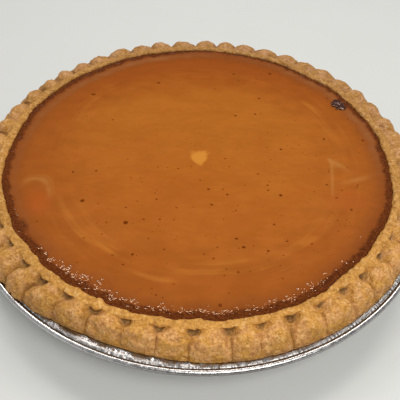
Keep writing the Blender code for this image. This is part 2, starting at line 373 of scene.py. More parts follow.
def lathe_rows(profile, columns=COLUMNS):
    """Rings of points from (radius, height) pairs."""
    angle = TURN * np.arange(columns) / columns
    radius, height = np.array(profile).T
    return on_circle(radius[:, None], angle[None, :], height[:, None])


def spin(grid, angle):
    """Points turned about the pie's axis."""
    c, s = math.cos(angle), math.sin(angle)
    x, y = grid[..., 0], grid[..., 1]
    return np.stack((c * x - s * y, s * x + c * y, grid[..., 2]), axis=-1)


def wavy_mouth(rim):
    """Rim points whose mouth wanders in and out a little, at two pitches round the pie."""
    flat = flat_points(rim[..., 0], rim[..., 1])
    wave = 0.9 * cube_noise(flat, 19.0, 27) + 0.5 * cube_noise(flat, 8.0, 28)
    wave *= smooth_drop(np.hypot(rim[..., 0], rim[..., 1]), MOUTH_R + 1.0, MOUTH_R + 5.0)
    swing = 1.0 + wave / MOUTH_R
    return rim * np.stack((swing, swing, np.ones_like(swing)), axis=-1)


def hidden_shell(start):
    """Rings of the shell below its rim: the outside up to the flange, and the inside down from the mouth."""
    inset = FOIL + GAP + CRUST_WALL
    side_z = (MOUTH_R - BASE_R + WALL_SLANT * inset) / WALL_LEAN
    foot_r = BASE_R + WALL_LEAN * (FLANGE_Z + GAP) - WALL_SLANT * (FOIL + GAP)
    outside = [*floor_corner(FOIL + GAP, FOIL + GAP, CORNER), (foot_r, FLANGE_Z + GAP)]
    inside = [(MOUTH_R, side_z), *reversed(floor_corner(FOIL + GAP + CRUST_FLOOR, inset, 2.0 * CORNER))]
    return (spin(lathe_rows(profile), start) for profile in (outside, inside))


def make_crust(material):
    """The pastry shell: plain where the tin and the filling hide it, and crimped, crumbly rim above."""
    rim, pinch, hollow, nook = rim_grid()
    rows = np.arange(len(rim))
    rim = wavy_mouth(rim)
    strength = np.minimum(smooth_step(rows, 1, 8), smooth_drop(rows, len(rim) - 7, len(rim) - 3))
    rim = beside_bead(crumbly(rim, strength[:, None], pinch))
    rim[..., 2] = keep_under(rim[..., 2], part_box("crust")[1].z / MM, 0.8)
    outside, inside = hidden_shell(np.arctan2(rim[0, 0, 1], rim[0, 0, 0]))
    grid = np.concatenate((outside, rim, inside))

    pad = ((len(outside), len(inside)), (0, 0))
    level = np.linspace(0.0, 1.0, len(rim))[:, None] * np.ones(COLUMNS)
    fields = {
        "pinch": np.pad(pinch, pad),
        "hollow": np.pad(hollow, pad),
        "nook": np.pad(nook, pad),
        "level": np.pad(level, pad, mode="edge"),
    }
    piece = turned_piece("crust_rim", grid, material, fields)
    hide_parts("crust")
    return rim


# Filling


BLISTER = (107.0, 62.5)  # a burst of caramel against the crust, on the far right
BUBBLE = (-104.0, -47.0)  # a flattened air bubble under the skin, on the left
FLAP = (86.0, -20.0)  # the straight edge of a lifted patch of skin, on the right
PALE_SPOT = (-1.0, -6.2)  # a spot of pale custard near the middle

# At angles in degrees round the pie: the dark ring's width, the strength of the painted sheen inside it, the
# sheen's distance from the ring, and the strength of a broad darker zone farther in
EDGE_ZONES = (
    (-180, 3.4, 0.22, 3.0, 0.35), (-155, 4.3, 0.2, 2.8, 0.4), (-125, 5.6, 0.0, 2.8, 0.25),
    (-90, 5.5, 0.0, 2.8, 0.25), (-45, 5.3, 0.0, 2.8, 0.3), (-15, 3.9, 0.0, 2.5, 0.15),
    (10, 2.6, 0.65, 2.3, 0.15), (50, 2.1, 0.6, 2.4, 0.5), (80, 1.2, 0.1, 3.0, 0.85),
    (105, 2.7, 0.75, 3.2, 0.82), (145, 3.6, 0.6, 4.2, 0.78),
)  # fmt: skip


def bell(distance, width):
    """Falls from 1 at no distance as exp(-(distance / width)^2)."""
    return np.exp(-((distance / width) ** 2))


def bubble_reach(x, y):
    """Distance from the air bubble's middle, as a share of its oval outline."""
    return np.hypot((x - BUBBLE[0]) / 13.0, (y - BUBBLE[1]) / 19.0)


def flap_place(x, y):
    """Distances from the flap: in from its straight left edge, and up from its slanting top edge."""
    points = flat_points(x, y)
    inward = x - FLAP[0] - 0.12 * (y - FLAP[1]) + 0.5 * cube_noise(points, 9.0, 35)
    upward = y - (FLAP[1] + 20.0) + 0.75 * (x - FLAP[0]) + 1.2 * cube_noise(points, 6.0, 36)
    return inward, upward


def filling_height(x, y, rim_gap):
    """Height of the filling: level, creeping up near the crust, with shallow swells and a few soft marks.

    rim_gap is the distance from the crust's mouth. The air bubble is a low dome with a raised far
    shoulder, and the flap is a slope that ends in a straight step.
    """
    points = flat_points(x, y)
    creep = (FILLING_LIP_Z - FILLING_Z) * np.clip(1.0 - rim_gap / FILLING_CREEP, 0.0, 1.0) ** 2
    swells = 0.14 * cube_noise(points, 34.0, 31) + 0.04 * cube_noise(points, 11.0, 32)
    near_rim = smooth_drop(rim_gap, 3.0, 6.5)
    simmer = near_rim * (0.04 * cube_noise(points, 1.3, 33) + 0.09 * cube_noise(points, 2.8, 34))
    reach = bubble_reach(x, y)
    shoulder = smooth_step(y - BUBBLE[1], -8.0, 12.0) * bell(reach - 0.92, 0.16)
    bubble = 0.5 * smooth_drop(reach, 0.2, 1.0) + 0.35 * shoulder
    inward, upward = flap_place(x, y)
    long = smooth_step(y, FLAP[1] - 24.0, FLAP[1] - 12.0) * smooth_drop(upward, -1.5, 0.5)
    flap = 0.4 * long * smooth_step(inward, -0.8, 0.8) * smooth_drop(inward, 3.0, 20.0)
    return FILLING_Z + creep + swells + simmer + bubble + flap


def skin_marks(x, y, rim_gap):
    """Fields for the skin's colour: pale, red, burnt, painted sheen and dusky, and the way in from the dark
    ring.
    """
    points = flat_points(x, y)
    wisps = 0.5 + 0.5 * cube_noise(points * (1.0, 2.2, 1.0), 7.0, 37)
    broken = 0.4 + 0.6 * wisps

    reach = bubble_reach(x, y) + 0.06 * cube_noise(points, 5.0, 38)
    beyond = smooth_step(y - BUBBLE[1] + 0.5 * (x - BUBBLE[0]), 0.0, 12.0)
    arcs = (0.85 * bell(reach - 0.82, 0.12) + 0.4 * bell(reach - 1.02, 0.04)) * broken
    inward, upward = flap_place(x, y)
    along = smooth_step(y, FLAP[1] - 23.0, FLAP[1] - 8.0) * smooth_drop(upward, 0.0, 2.0)
    edge = 0.8 * along * bell(inward - 1.2, 0.9)
    corner = bell(upward + 2.0, 3.4) * smooth_step(inward, -2.0, 0.5) * smooth_drop(inward, 7.0, 17.0)
    streak = 0.7 * bell(y + 21.3 - 0.37 * (x - 104.0), 1.9) * bell(x - 104.0, 9.0)
    pale = arcs * beyond + edge + corner * broken + streak

    angle = np.arctan2(y, x)
    width, sheen_strength, haze_gap, duskiness = (round_pie(angle, EDGE_ZONES, column) for column in (1, 2, 3, 4))
    ring = rim_gap - width
    # painted sheen: a pale hazy band just inside the dark ring
    painted_sheen = sheen_strength * bell(ring - haze_gap, 2.9) * broken
    dusk = duskiness * bell(rim_gap - 19.0, 13.0) * (0.6 + 0.4 * wisps)

    in_bubble = np.hypot((x - BUBBLE[0] - 4.5) / 10.0, (y - BUBBLE[1] + 5.0) / 12.0)
    below_flap = np.hypot((x - FLAP[0] - 9.0) / 14.0, (y - FLAP[1] + 20.0) / 10.0)
    red = smooth_drop(in_bubble, 0.3, 1.3) + 0.6 * smooth_drop(below_flap, 0.3, 1.3)
    lumpy = 1.6 * cube_noise(points, 4.0, 39)
    round_blister = np.hypot(x - BLISTER[0] - 2.5, y - BLISTER[1] + 0.5)
    near_left = np.hypot(x + 105.0, y + 72.0)
    burnt = np.maximum(smooth_drop(round_blister + lumpy, 5.0, 8.5), smooth_drop(near_left + lumpy, 3.0, 8.0))
    return {
        "pale": np.clip(pale, 0.0, 1.0),
        "red": np.clip(red, 0.0, 1.0),
        "burnt": burnt,
        "painted_sheen": painted_sheen,
        "dusk": dusk,
        "ring": ring,
    }


def make_filling(material, mouth):
    """The set filling: rings from the middle of its underside, up the wall and in over the top."""
    centre = np.array((*MOUTH_OFF, 0.0))
    lip = mouth - centre
    lip_r = np.hypot(lip[:, 0], lip[:, 1]) - 0.12
    angle = np.arctan2(lip[:, 1], lip[:, 0])
    spans = ((1.0, 0.92, 16), (0.91, 0.62, 34), (0.58, 0.03, 12))  # rings lie closest at the crust
    share = np.concatenate([np.linspace(*span) for span in spans])
    radius = share[:, None] * lip_r[None, :]
    x = MOUTH_OFF[0] + radius * np.cos(angle)
    y = MOUTH_OFF[1] + radius * np.sin(angle)
    rim_gap = lip_r[None, :] - radius
    top = np.stack((x, y, filling_height(x, y, rim_gap)), axis=-1)

    inset = FOIL + 2.0 * GAP + CRUST_WALL
    side_r = MOUTH_R - 1.3
    side_z = (side_r - BASE_R + WALL_SLANT * inset) / WALL_LEAN
    under = [*floor_corner(FOIL + 2.0 * GAP + CRUST_FLOOR, inset, 2.0 * CORNER), (side_r, side_z)]
    under = spin(lathe_rows(under), angle[0])
    wall = top[:1] * (0.999, 0.999, 1.0) - (0.0, 0.0, 1.2)
    grid = np.concatenate((under, wall, top))
    pad = ((len(under) + 1, 0), (0, 0))
    fields = {name: np.pad(values, pad) for name, values in skin_marks(x, y, rim_gap).items()}
    fields["rim_gap"] = np.pad(rim_gap, pad)
    piece = turned_piece("filling_custard", grid, material, fields)
    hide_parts("filling")


# Tin


FLANGE_RIBS = 380  # fine ribs round the whole flange, though they show only in bunches
TIN_COLUMNS = 2300

# At angles in degrees round the pie: how strong the painted highlight on the bead and on the flange, and how
# dull the flange is
FOIL_ZONES = (
    (-180, 0.6, 0.3, 0.1), (-118, 1.0, 0.2, 0.2), (-100, 0.4, 0.1, 0.2), (-88, 0.0, 0.0, 0.15),
    (-78, 0.0, 0.1, 0.15), (-65, 0.4, 0.1, 0.22), (-45, 0.35, 0.1, 0.22), (0, 0.3, 0.2, 0.1),
)  # fmt: skip


def flange_wrinkles(angle, radius):
    """Height of the foil's creases: ridges outwards at two pitches, crumples, and bunches of ribs."""
    arc = flat_points(angle * TIN_R, radius * 0.35)
    groups = 0.5 + 0.5 * smooth_step(cube_noise(arc * (1.0, 0.2, 1.0), 21.0, 51), -0.5, 0.5)
    fine = 1.0 - 2.0 * np.abs(cube_noise(arc, 1.7, 52))
    broad = 1.0 - 2.0 * np.abs(cube_noise(arc, 4.6, 53))
    crumple = cube_noise(arc * (1.0, 3.0, 1.0), 1.3, 54)
    right = smooth_step(np.cos(angle + math.radians(48.0)), 0.85, 0.97)
    along = arc * (1.0, 0.0, 1.0)
    bunches = smooth_step(cube_noise(along, 7.0, 55), 0.05, 0.3)
    ribs = 0.16 * np.cos(FLANGE_RIBS * angle + 1.5 * cube_noise(along, 5.0, 56)) * right * bunches
    return groups * (1.0 - 0.6 * right) * (0.26 * fine + 0.1 * broad + 0.3 * crumple) + ribs


def tin_section():
    """Section of the tin as (radius, height): up the outside, over the bead, and down the inside."""
    under_z = FLANGE_Z - FOIL
    outside = [*floor_corner(0.0, 0.0, CORNER)]
    outside += [(BASE_R + WALL_LEAN * z, z) for z in (5.0, 9.0, 14.0, 19.0, 24.0, under_z)]
    outside += [(r, under_z) for r in (143.0, 145.5, 147.5, FLANGE_OUT_R - 0.1)]
    turn = np.radians(np.linspace(-150.0, 165.0, 13))
    bead = [(BEAD_MID_R + BEAD_R * math.cos(a), FLANGE_Z + BEAD_R * math.sin(a)) for a in turn]
    back = [(FLANGE_OUT_R + 0.15, FLANGE_Z - 0.35), (FLANGE_OUT_R - 0.35, FLANGE_Z - 0.1)]
    back += [(r, FLANGE_Z) for r in (148.0, 147.2, 146.4, 145.6, 144.6, 143.0)]
    inside = [(BASE_R + WALL_LEAN * z - WALL_SLANT * FOIL, z) for z in (FLANGE_Z, 20.0, 10.0)]
    inside += reversed(floor_corner(FOIL, FOIL, CORNER))
    return outside + bead + back + inside


def make_tin(material):
    """The foil tin: plain floor and wall, wrinkled flange, and a groove beside the rolled bead.

    Its fields say where the foil gets painted shade in the groove and under the bead, where a painted
    highlight and where it is dull.
    """
    grid = lathe_rows(tin_section(), TIN_COLUMNS)
    angle = np.arctan2(grid[..., 1], grid[..., 0])
    radius = np.hypot(grid[..., 0], grid[..., 1])
    on_flange = smooth_step(radius, 146.2, 147.4) * smooth_drop(radius, 148.7, 149.4)
    on_bead = 0.12 * smooth_step(radius, 149.4, 150.5)
    grid[..., 2] += flange_wrinkles(angle, radius) * (on_flange + on_bead)

    flank = smooth_step(radius, FLANGE_OUT_R - 0.3, FLANGE_OUT_R + 0.1) * smooth_drop(radius, 149.7, 150.2)
    below = smooth_step(radius, 151.3, 151.8) * smooth_step(FLANGE_Z - grid[..., 2], -0.9, 0.0)
    on_top = smooth_step(radius, 149.9, 150.4) * round_pie(angle, FOIL_ZONES, 1)
    inner = 0.6 * smooth_drop(radius, 146.4, 148.2)  # painted highlight beside the crust, whose shade the foil mirrors
    fields = {
        # painted shade in the groove's flank and under the bead
        "groove": np.maximum(flank * (grid[..., 2] > FLANGE_Z - 0.1), 0.9 * below),
        # painted highlight beside the crust, on the flange and on the bead's top
        "painted_highlight": np.maximum(on_flange * np.maximum(inner, round_pie(angle, FOIL_ZONES, 2)), on_top),
        "dull": np.maximum(on_flange * round_pie(angle, FOIL_ZONES, 3), 0.12 * on_top),
    }
    piece = turned_piece("foil_pie_tin", grid, material, fields)
    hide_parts("foil_tin")


# Bubbles, specks and the blister


def rim_positions(angle, gap, mouth):
    """x and y of places at the given angles and distances in from the crust's mouth."""
    lip = mouth - np.array((*MOUTH_OFF, 0.0))
    lip_angle = np.arctan2(lip[:, 1], lip[:, 0])
    order = np.argsort(lip_angle)
    lip_r = np.interp(angle, lip_angle[order], np.hypot(lip[:, 0], lip[:, 1])[order], period=TURN)
    return MOUTH_OFF[0] + (lip_r - gap) * np.cos(angle), MOUTH_OFF[1] + (lip_r - gap) * np.sin(angle)


BUBBLE_TOP_R = 5.6  # how round the tops of the edge's bubbles are
TINY_BUBBLES = 160

# Where the edge glistens: angle in degrees, distance in from the crust, its spread, count and size
WET_PLACES = (
    (-151.0, 3.8, 0.5, 3, 0.6), (-143.0, 2.5, 0.4, 2, 0.6), (-133.5, 5.0, 0.6, 10, 0.9),
    (-127.5, 6.2, 1.1, 17, 0.85), (-122.5, 6.6, 1.5, 18, 0.8), (-117.5, 7.2, 1.7, 22, 0.75),
    (-112.0, 6.0, 1.5, 16, 0.8), (-106.5, 6.3, 1.4, 14, 0.8), (-101.0, 5.8, 1.4, 13, 0.65),
    (-96.0, 5.6, 1.5, 15, 0.6), (-90.5, 6.3, 1.3, 18, 0.62), (-85.0, 5.6, 1.0, 15, 0.68),
    (-79.5, 5.6, 0.9, 10, 0.55), (-74.0, 5.6, 1.6, 12, 0.55), (-68.0, 6.5, 1.3, 14, 0.55),
    (-63.5, 6.3, 1.2, 8, 0.6), (-59.5, 6.8, 1.2, 9, 0.85), (-55.0, 5.6, 1.3, 7, 0.65),
    (-49.0, 6.5, 1.5, 3, 0.6), (-43.5, 4.4, 0.8, 3, 0.65), (-35.0, 9.0, 0.5, 1, 0.6),
)  # fmt: skip


def make_bubbles(material, mouth):
    """Small glossy bubbles along the dark edge of the filling, thickest and largest on the near side.

    Each is drawn round one of the wet places, with its angle within 3 degrees of it. The flattened
    bubbles have a top of about the same roundness whatever their size: the height is size^2 / roundness.
    """
    draw = np.random.default_rng(61)
    at, gap, sway, _, wide = np.repeat(np.array(WET_PLACES), [row[3] for row in WET_PLACES], axis=0).T
    angle = np.radians(at + draw.uniform(-3.0, 3.0, len(at)))
    gap = gap + sway * draw.normal(0.0, 1.0, len(at))
    size = wide * draw.uniform(0.5, 1.3, len(at))
    angle = np.concatenate((angle, np.radians(draw.uniform(-137.0, -52.0, TINY_BUBBLES))))
    gap = np.clip(np.concatenate((gap, draw.normal(5.8, 1.5, TINY_BUBBLES))), 1.5, 12.0)
    size = np.concatenate((size, draw.uniform(0.18, 0.32, TINY_BUBBLES)))
    x, y = rim_positions(angle, gap, mouth)
    place = (x, y, filling_height(x, y, gap))
    tall = size**2 / BUBBLE_TOP_R + 0.02
    scattered_balls("edge_bubbles", place, (size, size, tall), smooth_step(gap, 2.5, 6.5), material, 12, 8)


# The larger specks: x, y and size across
MAIN_SPECKS = np.array(
    (
        (6, -35, 2.4), (8, -48, 1.8), (18, -39, 1.9), (23, -74, 2.4), (27, -80, 2.6), (44, 65, 2.8),
        (25, 42, 2.4), (40, 45, 2.0), (56, 6, 2.6), (88, 19, 2.2), (116, 19, 2.4), (83, -27, 2.0),
        (95, -48, 2.0), (52, -38, 2.6), (46, -62, 1.6), (41, -82, 2.0), (-36, -88, 2.0), (-43, -65, 3.4),
        (-72, -49, 3.0), (-85, 62, 4.2), (-36, 81, 3.0), (55, 100, 3.0), (25, 98, 2.6), (-83, -24, 2.0),
    ),
    float,
)  # fmt: skip
SMALL_SPECKS = 430  # as drawn, before they are thinned out


def make_specks(material):
    """Specks of spice in the skin: a few larger ones, and many small ones, thickest at the near right."""
    draw = np.random.default_rng(71)
    radius = 121.0 * np.sqrt(draw.random(SMALL_SPECKS))
    angle = draw.uniform(-math.pi, math.pi, SMALL_SPECKS)
    x, y = radius * np.cos(angle), radius * np.sin(angle)
    keep = draw.random(SMALL_SPECKS) < 0.25 + 0.75 * smooth_step(x * 0.6 - y * 0.8, -60.0, 70.0)
    keep &= np.hypot(x - PALE_SPOT[0], y - PALE_SPOT[1]) > 8.0
    small = 0.5 + draw.gamma(2.0, 0.28, SMALL_SPECKS)
    x = np.concatenate((MAIN_SPECKS[:, 0], x[keep]))
    y = np.concatenate((MAIN_SPECKS[:, 1], y[keep]))
    size = 0.5 * np.concatenate((MAIN_SPECKS[:, 2], np.minimum(small[keep], 2.0)))
    z = filling_height(x, y, 128.0 - np.hypot(x - MOUTH_OFF[0], y - MOUTH_OFF[1])) - 0.02
    sizes = (size, size * draw.uniform(0.6, 1.0, len(x)), np.full(len(x), 0.07))
    faint = draw.uniform(0.35, 1.0, len(x))
    tone = np.where(np.arange(len(x)) < len(MAIN_SPECKS), 0.25, faint)
    scattered_balls("spice_specks", (x, y, z), sizes, tone, material, 10, 4)


BROAD_BUBBLES = 22  # in the blister

# The blister's wet bubbles: x and y from its middle, and size
WET_BUBBLES = np.array(
    ((-5.6, -3.4, 1.7), (-3.6, -4.4, 1.5), (-0.7, -5.6, 1.6), (-4.0, -7.6, 0.9), (-6.2, -0.8, 1.1))
)


def make_blister(material):
    """A burst of dark, glossy caramel at the far right: broad bubbles with a few wet ones before them."""
    draw = np.random.default_rng(81)
    outward = math.atan2(BLISTER[1], BLISTER[0])
    out = draw.normal(1.0, 1.9, BROAD_BUBBLES)
    along = draw.normal(-0.5, 3.2, BROAD_BUBBLES)
    x = BLISTER[0] + out * math.cos(outward) - along * math.sin(outward)
    y = BLISTER[1] + out * math.sin(outward) + along * math.cos(outward)
    x = np.concatenate((x, BLISTER[0] + WET_BUBBLES[:, 0]))
    y = np.concatenate((y, BLISTER[1] + WET_BUBBLES[:, 1]))
    size = np.concatenate((draw.uniform(2.2, 3.6, BROAD_BUBBLES), WET_BUBBLES[:, 2]))
    is_broad = np.arange(len(size)) < BROAD_BUBBLES
    tall = np.where(is_broad, 0.25 * size, 0.16 * size**2)
    place = (x, y, FILLING_Z + np.where(is_broad, 0.3, 0.8))
    scattered_balls("caramel_blister", place, (size, size, tall), np.zeros(len(size)), material, 20, 12)


# Materials


def feed(tree, node, inputs):
    """Inputs of a node, each by name or number: a value to set or a socket to link."""
    for name, value in inputs.items():
        socket = node.inputs[name]
        if isinstance(value, bpy.types.NodeSocket):
            tree.links.new(value, socket)
        else:
            socket.default_value = value


def add_node(tree, kind, inputs=None, **settings):
    """A new shader node with its own settings and its inputs."""
    made = tree.nodes.new(kind)
    for name, value in settings.items():
        setattr(made, name, value)
    feed(tree, made, inputs or {})
    return made


def arithmetic(tree, operation, a, b=0.0):
    """The output of one Math node."""
    return add_node(tree, "ShaderNodeMath", {0: a, 1: b}, operation=operation).outputs[0]


def times(tree, a, b):
    """The product of two numbers, each a value or a socket."""
    return arithmetic(tree, "MULTIPLY", a, b)


def plus(tree, a, b):
    """The sum of two numbers, each a value or a socket."""
    return arithmetic(tree, "ADD", a, b)


def vector_math(tree, operation, inputs, output="Vector"):
    """One output of a Vector Math node."""
    return add_node(tree, "ShaderNodeVectorMath", inputs, operation=operation).outputs[output]


def spread(tree, value, low, high, to_low=0.0, to_high=1.0):
    """The value carried smoothly from the range low..high to the range to_low..to_high."""
    inputs = {"Value": value, "From Min": low, "From Max": high, "To Min": to_low, "To Max": to_high}
    return add_node(tree, "ShaderNodeMapRange", inputs, interpolation_type="SMOOTHSTEP").outputs["Result"]


def noise(tree, vector, size_mm, detail=2.0, rough=0.5):
    """Blender's noise with features of about this size in millimetres."""
    inputs = {"Vector": vector, "Scale": 1.0 / (size_mm * MM), "Detail": detail, "Roughness": rough}
    return add_node(tree, "ShaderNodeTexNoise", inputs).outputs["Fac"]


def blend(tree, amount, first, second, kind="MIX"):
    """Colour between first and second; each is a colour or a socket."""
    ends = (end if isinstance(end, bpy.types.NodeSocket) else (*end, 1.0) for end in (first, second))
    inputs = {"Factor": amount, **dict(zip((6, 7), ends))}
    return add_node(tree, "ShaderNodeMix", inputs, data_type="RGBA", blend_type=kind).outputs[2]


def tinted(tree, colour, tint):
    """The colour multiplied by a tint."""
    return blend(tree, 1.0, colour, tint, "MULTIPLY")


def layered(tree, colour, layers):
    """The colour with layers over it from first to last, each a mask and a colour."""
    for mask, over in layers:
        colour = blend(tree, mask, colour, over)
    return colour


def field(tree, name):
    """A number stored on the mesh's points."""
    return add_node(tree, "ShaderNodeAttribute", attribute_name=name).outputs["Fac"]


def object_place(tree):
    """Object coordinates, in metres."""
    return add_node(tree, "ShaderNodeTexCoord").outputs["Object"]


def bare_material(name):
    """A new material with its tree and its Principled shader."""
    material = bpy.data.materials.new(name)
    material.use_nodes = True
    return material, material.node_tree, material.node_tree.nodes["Principled BSDF"]


def mottle_group():
    """Uneven baking: patches at one size and grain at another, put out as a tone from 0 to 1 and a height."""
    tree = bpy.data.node_groups.new("baked_mottle", "ShaderNodeTree")
    for name, kind, value in (
        ("Vector", "NodeSocketVector", None),
        ("Patch Scale", "NodeSocketFloat", 200.0),
        ("Grain Scale", "NodeSocketFloat", 1000.0),
        ("Grain Share", "NodeSocketFloat", 0.5),
    ):
        socket = tree.interface.new_socket(name, in_out="INPUT", socket_type=kind)
        if value is not None:
            socket.default_value = value
    for name in ("Tone", "Height"):
        tree.interface.new_socket(name, in_out="OUTPUT", socket_type="NodeSocketFloat")
    given = tree.nodes.new("NodeGroupInput").outputs
    result = tree.nodes.new("NodeGroupOutput").inputs
    patch_in = {"Vector": given["Vector"], "Scale": given["Patch Scale"], "Detail": 3.0, "Roughness": 0.55}
    grain_in = {"Vector": given["Vector"], "Scale": given["Grain Scale"], "Detail": 2.0, "Roughness": 0.6}
    patch = add_node(tree, "ShaderNodeTexNoise", patch_in).outputs["Fac"]
    grain = add_node(tree, "ShaderNodeTexNoise", grain_in).outputs["Fac"]
    mixer = add_node(tree, "ShaderNodeMix", {"Factor": given["Grain Share"], "A": patch, "B": grain})
    tree.links.new(spread(tree, mixer.outputs[0], 0.3, 0.7), result["Tone"])
    tree.links.new(grain, result["Height"])
    return tree


def mottle(tree, group, vector, patch_mm, grain_mm, share):
    """The mottle group placed in a tree: its tone and height sockets."""
    scales = {"Patch Scale": 1.0 / (patch_mm * MM), "Grain Scale": 1.0 / (grain_mm * MM)}
    inputs = {"Vector": vector, **scales, "Grain Share": share}
    made = add_node(tree, "ShaderNodeGroup", inputs, node_tree=group)
    return made.outputs["Tone"], made.outputs["Height"]


def bump(tree, height, strength, distance_mm):
    """The normal that a Bump node gives."""
    inputs = {"Height": height, "Strength": strength, "Distance": distance_mm * MM}
    return add_node(tree, "ShaderNodeBump", inputs).outputs["Normal"]


def pastry_material(group):
    """Baked pastry: golden ledge, tan and rosy lobes, with painted shade in the creases, nooks and foot and
    on the far and left sides.
    """
    material, tree, shader = bare_material("baked_pastry")
    place = object_place(tree)
    tone, height = mottle(tree, group, place, 5.0, 1.3, 0.6)
    level, pinch, hollow, nook = (field(tree, name) for name in ("level", "pinch", "hollow", "nook"))
    golden = blend(tree, tone, (0.45, 0.197, 0.028), (0.74, 0.366, 0.078))
    rosy = blend(tree, tone, (0.49, 0.207, 0.055), (0.81, 0.424, 0.140))
    patches = spread(tree, noise(tree, place, 8.0, 3.0), 0.42, 0.58)
    lobes = times(tree, patches, spread(tree, level, 0.68, 0.58))
    blotch = noise(tree, place, 2.4, 3.0, 0.65)
    grains = noise(tree, place, 0.8, 1.0)
    crease = times(tree, pinch, spread(tree, level, 0.64, 0.45))
    broken = spread(tree, noise(tree, place, 4.0, 2.0), 0.38, 0.58, 0.1, 0.75)
    ragged = plus(tree, nook, spread(tree, blotch, 0.3, 0.7, -0.25, 0.25))
    layers = (
        (lobes, rosy),
        (spread(tree, blotch, 0.46, 0.36, 0.0, 0.5), (0.32, 0.135, 0.032)),
        (spread(tree, blotch, 0.56, 0.66, 0.0, 0.5), (0.90, 0.57, 0.24)),
        # painted shade down the creases
        (spread(tree, crease, 0.3, 0.95, 0.0, 0.6), (0.36, 0.155, 0.028)),
        (spread(tree, hollow, 0.25, 0.8, 0.0, 0.6), (0.44, 0.235, 0.075)),
        (spread(tree, grains, 0.62, 0.72, 0.0, 0.3), (0.90, 0.62, 0.30)),
        # painted shade in narrow broken lines at the bottom of the creases
        (times(tree, spread(tree, crease, 0.65, 1.0), broken), (0.22, 0.092, 0.016)),
        # painted shade in the pockets' nooks under the ledge
        (spread(tree, ragged, 0.40, 0.9, 0.0, 0.8), (0.125, 0.060, 0.015)),
        # painted shade along the rim's foot beside the foil
        (spread(tree, level, 0.10, 0.02, 0.0, 0.35), (0.36, 0.16, 0.030)),
    )
    colour = layered(tree, golden, layers)
    # painted shade: duller and darker towards the far side
    near = vector_math(tree, "DOT_PRODUCT", {0: place, 1: (-0.25, -0.97, 0.0)}, "Value")
    far_shade = blend(tree, spread(tree, near, -0.15, 0.15), (0.71, 0.72, 0.93), (1.0, 1.0, 1.03))
    colour = tinted(tree, colour, far_shade)
    left = vector_math(tree, "DOT_PRODUCT", {0: place, 1: (-0.8, -0.6, 0.0)}, "Value")
    shaded = tinted(tree, colour, (0.84, 0.84, 0.86))
    colour = blend(tree, spread(tree, left, 0.108, 0.14), colour, shaded)
    wrinkle = arithmetic(tree, "ABSOLUTE", arithmetic(tree, "SUBTRACT", noise(tree, place, 4.5, 2.0), 0.5))
    wrinkle = spread(tree, wrinkle, 0.02, 0.0)
    colour = blend(tree, times(tree, wrinkle, 0.4), colour, (0.30, 0.13, 0.03))
    relief = plus(tree, height, times(tree, blotch, 1.8))
    relief = arithmetic(tree, "SUBTRACT", relief, times(tree, wrinkle, 0.25))
    look = {"Base Color": colour, "Roughness": spread(tree, tone, 0.0, 1.0, 0.72, 0.55)}
    feed(tree, shader, {**look, "Specular IOR Level": 0.2, "Normal": bump(tree, relief, 0.7, 0.6)})
    return material


def swirl_place(tree, place, turns, radial_mm):
    """Coordinates for streaks that run round the pie, and the distance from its axis in millimetres.

    The direction from the axis gives x and y, and the distance, over the streaks' width, gives z.
    """
    flat = vector_math(tree, "MULTIPLY", {0: place, 1: (1.0, 1.0, 0.0)})
    reach = vector_math(tree, "LENGTH", {0: flat}, "Value")
    outward = vector_math(tree, "NORMALIZE", {0: flat})
    turned = vector_math(tree, "SCALE", {0: outward, "Scale": turns})
    over = {"Z": times(tree, reach, 1.0 / (radial_mm * MM))}
    over = add_node(tree, "ShaderNodeCombineXYZ", over).outputs[0]
    return vector_math(tree, "ADD", {0: turned, 1: over}), times(tree, reach, 1.0 / MM)


def streak_mask(tree, place, across, swirl, reach):
    """Mask of the paler streaks: a noise that runs round the pie, in a broken band inside the edge."""
    wave = add_node(tree, "ShaderNodeTexNoise", {"Vector": swirl, "Scale": 1.0, "Detail": 2.0}).outputs["Fac"]
    band = times(tree, spread(tree, reach, 80.0, 98.0), spread(tree, reach, 114.0, 105.0))
    inner = arithmetic(tree, "ABSOLUTE", plus(tree, across, 0.012))
    band = times(tree, band, spread(tree, inner, 0.02, 0.075, 0.3, 1.0))
    band = times(tree, band, spread(tree, across, 0.05, 0.09, 1.0, 0.3))
    broken = spread(tree, noise(tree, place, 26.0, 2.0), 0.36, 0.60, 0.15, 0.9)
    return times(tree, times(tree, spread(tree, wave, 0.42, 0.68), band), broken)


def spot_mask(tree, place):
    """Mask of the pale spot: a wobbly round, drawn in on its near side."""
    mapping = {"Vector": place, "Location": [-v * MM for v in PALE_SPOT] + [0.0], "Scale": (1.0, 1.0, 0.0)}
    centred = add_node(tree, "ShaderNodeMapping", mapping).outputs["Vector"]
    part = add_node(tree, "ShaderNodeSeparateXYZ", {"Vector": centred}).outputs
    taper = arithmetic(tree, "SUBTRACT", 1.3, times(tree, part["Y"], 0.1 / MM))
    shape = {"X": times(tree, part["X"], taper), "Y": part["Y"]}
    shape = add_node(tree, "ShaderNodeCombineXYZ", shape).outputs[0]
    away = times(tree, vector_math(tree, "LENGTH", {0: shape}, "Value"), 1.0 / MM)
    wobble = spread(tree, noise(tree, place, 6.0), 0.3, 0.7, -1.0, 1.0)
    return spread(tree, plus(tree, away, wobble), 8.4, 5.2, 0.0, 0.9)


